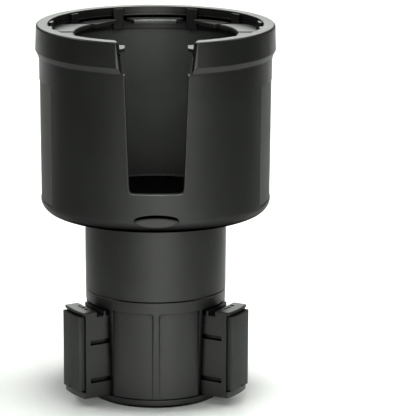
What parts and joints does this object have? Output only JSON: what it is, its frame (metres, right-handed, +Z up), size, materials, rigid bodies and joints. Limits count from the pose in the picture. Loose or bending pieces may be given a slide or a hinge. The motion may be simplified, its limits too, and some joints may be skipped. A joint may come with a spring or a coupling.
{
  "type": "car cup holder",
  "caption": "Car cup holder: a wide cup with a handle slot and soft grip flaps, on a neck and a base whose padded feet spread when the cup is twisted.",
  "frame": {"origin": "centre of the base's underside, on the cup's axis", "axes": "+Z up along the cup's axis, -Y towards the handle slot, +X to the right seen from the slot"},
  "size_m": [0.1106, 0.1087, 0.175],
  "materials": {
    "cup_plastic": "black moulded plastic, satin, with matte grip areas at the sides",
    "rim_plastic": "black moulded plastic, satin",
    "base_plastic": "black moulded plastic, satin",
    "disc_plastic": "black low-friction plastic",
    "pad_rubber": "matte dark grey rubber",
    "flap_rubber": "matte black soft rubber",
    "mat_rubber": "matte black foam rubber",
    "steel": "plain steel"
  },
  "bodies": {
    "base": {"base_housing": "base_plastic", "base_plate": "base_plastic", "base_screws": "steel", "pivot_washer": "steel", "pivot_screw": "steel"},
    "cup": {"cup_shell": "cup_plastic", "rim_ring": "rim_plastic", "floor_mat": "mat_rubber", "scroll_disc": "disc_plastic", "scroll_screws": "steel", "grip_flap_back": "flap_rubber", "grip_flap_rear_left": "flap_rubber", "grip_flap_rear_right": "flap_rubber", "grip_flap_side_rear_left": "flap_rubber", "grip_flap_side_rear_right": "flap_rubber", "grip_flap_side_front_left": "flap_rubber", "grip_flap_side_front_right": "flap_rubber", "grip_flap_front_left": "flap_rubber", "grip_flap_front_right": "flap_rubber"},
    "foot_left": {"foot_arm_left": "base_plastic", "foot_pad_left": "pad_rubber", "cam_pin_left": "steel"},
    "foot_right": {"foot_arm_right": "base_plastic", "foot_pad_right": "pad_rubber", "cam_pin_right": "steel"},
    "foot_back": {"foot_arm_back": "base_plastic", "foot_pad_back": "pad_rubber", "cam_pin_back": "steel"}
  },
  "joints": [
    {"name": "cup_turn", "type": "hinge", "parent": "base", "child": "cup", "pos_m": [0, 0, 0.0513], "axis": [0, 0, 1], "range_deg": [0, 140]},
    {"name": "foot_left_slide", "type": "slide", "parent": "base", "child": "foot_left", "axis": [-0.866, -0.5, 0], "range_m": [-0.011, 0]},
    {"name": "foot_right_slide", "type": "slide", "parent": "base", "child": "foot_right", "axis": [0.866, -0.5, 0], "range_m": [-0.011, 0]},
    {"name": "foot_back_slide", "type": "slide", "parent": "base", "child": "foot_back", "axis": [0, 1, 0], "range_m": [-0.011, 0]}
  ],
  "couplings": [
    {"joint": "foot_left_slide", "follows": "cup_turn", "m_per_rad": -0.0045018},
    {"joint": "foot_right_slide", "follows": "cup_turn", "m_per_rad": -0.0045018},
    {"joint": "foot_back_slide", "follows": "cup_turn", "m_per_rad": -0.0045018}
  ]
}
